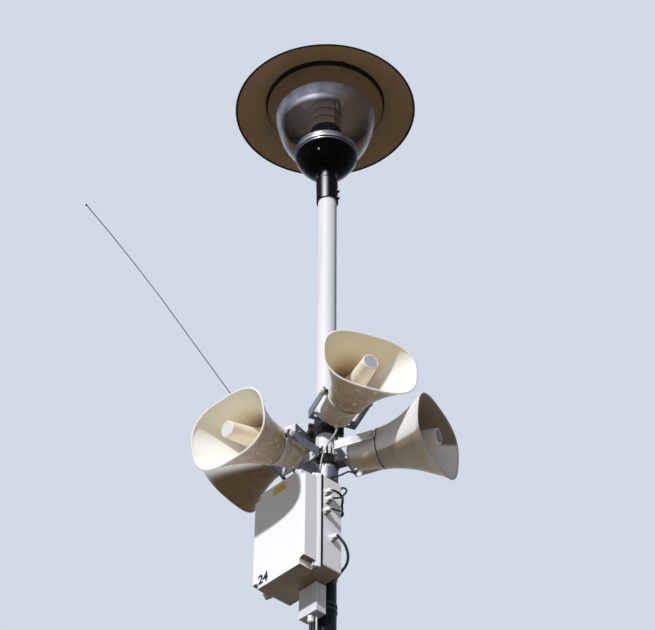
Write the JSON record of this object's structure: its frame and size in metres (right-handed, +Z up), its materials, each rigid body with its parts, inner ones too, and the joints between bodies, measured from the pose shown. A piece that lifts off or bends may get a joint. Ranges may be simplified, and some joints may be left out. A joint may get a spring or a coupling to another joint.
{
  "type": "civil defense siren tower",
  "caption": "Steel column carrying four tilting re-entrant siren horns, a control cabinet with whip antenna, and a hooded post-top lamp.",
  "frame": {"origin": "centre of the base plate's underside, where the column stands on its foundation", "axes": "+Z up along the column; -Y towards the side the picture is taken from, +X to the right in it"},
  "size_m": [1.1616, 0.6993, 6.4279],
  "materials": {
    "dark_paint": "anthracite paint, satin",
    "white_paint": "white paint, satin",
    "black_housing": "black powder coat",
    "bright_ring": "bright turned aluminium",
    "louvre": "satin aluminium",
    "clear_glass": "clear",
    "hat_paint": "brown-black paint, matt",
    "galvanised": "hot-dip galvanised",
    "stainless": "bright stainless band",
    "horn_plastic": "beige moulded plastic",
    "driver_plastic": "beige moulded plastic",
    "cabinet_plastic": "light grey plastic",
    "antenna_black": "black",
    "cable_black": "black sheath"
  },
  "bodies": {
    "root": {"base_plate": "dark_paint", "base_shaft": "dark_paint", "service_door": "dark_paint", "lower_mast": "dark_paint", "upper_mast": "white_paint", "lamp_socket": "black_housing", "lamp_base_bowl": "black_housing", "bowl_ring": "bright_ring", "lamp_inner_cap": "black_housing", "louvre_stack": "louvre", "clear_bowl": "clear_glass", "hat_pan": "hat_paint", "lamp_hat": "hat_paint", "upper_clamp": "galvanised", "lower_clamp": "galvanised", "left_arm": "galvanised", "steel_bands": "stainless", "cabinet_base": "cabinet_plastic", "cabinet_lid": "cabinet_plastic", "cabinet_bracket": "galvanised", "junction_box": "cabinet_plastic", "cable_glands": "cabinet_plastic", "antenna_base": "antenna_black", "antenna_whip": "antenna_black", "horn_leads": "cable_black", "cabinet_loops": "cable_black", "column_leads": "cable_black", "stirrup_top": "galvanised", "stirrup_left": "galvanised", "stirrup_right": "galvanised", "stirrup_back": "galvanised"},
    "top_horn": {"horn_top_flare": "horn_plastic", "horn_top_driver": "driver_plastic", "horn_top_plug": "horn_plastic"},
    "left_horn": {"horn_left_flare": "horn_plastic", "horn_left_driver": "driver_plastic", "horn_left_plug": "horn_plastic"},
    "right_horn": {"horn_right_flare": "horn_plastic", "horn_right_driver": "driver_plastic", "horn_right_plug": "horn_plastic"},
    "back_horn": {"horn_back_flare": "horn_plastic", "horn_back_driver": "driver_plastic", "horn_back_plug": "horn_plastic"}
  },
  "joints": [
    {"name": "top_horn_tilt", "type": "hinge", "parent": "root", "child": "top_horn", "pos_m": [0.05905, -0.14763, 4.974], "axis": [0.9285, 0.3714, 0], "range_deg": [-25, 4]},
    {"name": "left_horn_tilt", "type": "hinge", "parent": "root", "child": "left_horn", "pos_m": [-0.15053, -0.15211, 4.796], "axis": [0.7108, -0.7034, 0], "range_deg": [-25, 20]},
    {"name": "right_horn_tilt", "type": "hinge", "parent": "root", "child": "right_horn", "pos_m": [0.15837, -0.07793, 4.842], "axis": [0.4415, 0.8973, 0], "range_deg": [-4, 20]},
    {"name": "back_horn_tilt", "type": "hinge", "parent": "root", "child": "back_horn", "pos_m": [-0.14093, 0.09685, 4.96], "axis": [-0.5664, -0.8241, 0], "range_deg": [-20, 25]}
  ]
}
